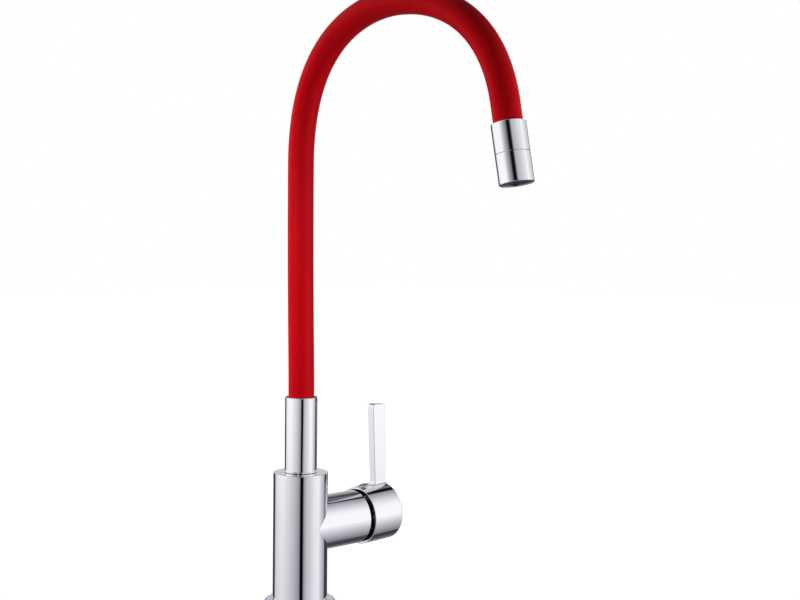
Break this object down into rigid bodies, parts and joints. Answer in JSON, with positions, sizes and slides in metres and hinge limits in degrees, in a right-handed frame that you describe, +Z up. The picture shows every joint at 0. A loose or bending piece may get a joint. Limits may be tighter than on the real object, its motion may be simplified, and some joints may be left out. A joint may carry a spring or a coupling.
{
  "type": "kitchen mixer tap",
  "caption": "Single-lever kitchen mixer tap with a side lever, a tall chrome body and a flexible red swan-neck spout that swivels, for a deck hole.",
  "frame": {"origin": "where the axis of the column and of the spout's swivel meets the deck, at the underside of the body", "axes": "+Z up along the column, -Y towards the outlet of the spout, +X along the cartridge housing to the lever"},
  "size_m": [0.1267, 0.2804, 0.5691],
  "materials": {
    "chrome": "polished chrome plate on brass",
    "brass": "bare turned brass",
    "steel": "zinc-plated or stainless steel",
    "red_silicone": "smooth satin red silicone",
    "black_rubber": "black rubber",
    "hose_plastic": "pale cross-linked plastic hose",
    "ceramic": "lapped white ceramic",
    "white_plastic": "white moulded plastic",
    "grey_plastic": "dark grey moulded plastic"
  },
  "bodies": {
    "body": {"body_casting": "chrome", "base_flange": "chrome", "base_gasket": "black_rubber", "mounting_stud": "steel", "clamp_washer": "black_rubber", "clamp_plate": "steel", "mounting_nut": "brass", "spout_set_screw": "steel", "slip_ring": "grey_plastic", "port_seal": "black_rubber", "cartridge_base": "white_plastic", "fixed_disc": "ceramic", "cartridge_housing": "white_plastic", "retaining_nut": "brass", "dome_ring": "chrome"},
    "turret": {"spindle_guide": "white_plastic", "pivot_pin": "steel"},
    "mixer": {"moving_disc": "ceramic", "disc_carrier": "white_plastic"},
    "lever": {"lever_handle": "chrome", "spindle": "steel", "lever_grub_screw": "steel", "lever_plug": "grey_plastic"},
    "spout": {"spout_collar": "chrome", "collar_seal_lower": "black_rubber", "collar_seal_upper": "black_rubber", "hose_nipple_lower": "brass", "water_hose": "hose_plastic", "gooseneck_core": "steel", "spout_sleeve": "red_silicone"},
    "outlet": {"hose_nipple_upper": "brass", "outlet_ferrule": "chrome", "aerator_housing": "chrome", "aerator_seal": "black_rubber", "aerator_insert": "grey_plastic", "flow_straightener": "grey_plastic"}
  },
  "joints": [
    {"name": "spout_swivel", "type": "hinge", "parent": "body", "child": "spout", "pos_m": [0, 0, 0.1], "axis": [0, 0, 1], "continuous": true},
    {"name": "spout_flex", "type": "hinge", "parent": "spout", "child": "outlet", "pos_m": [0, -0.11, 0.494], "axis": [1, 0, 0], "range_deg": [-30, 25], "deforming": ["spout_sleeve", "gooseneck_core", "water_hose"]},
    {"name": "lever_temperature", "type": "hinge", "parent": "body", "child": "turret", "pos_m": [0.054, 0, 0.0676], "axis": [1, 0, 0], "range_deg": [-50, 50]},
    {"name": "lever_flow", "type": "hinge", "parent": "turret", "child": "lever", "pos_m": [0.054, 0, 0.0676], "axis": [0, 1, 0], "range_deg": [0, 25]},
    {"name": "disc_slide", "type": "slide", "parent": "turret", "child": "mixer", "axis": [0, 0, 1], "range_m": [0, 0.0042]}
  ],
  "couplings": [
    {"joint": "disc_slide", "follows": "lever_flow", "m_per_rad": 0.0096}
  ]
}
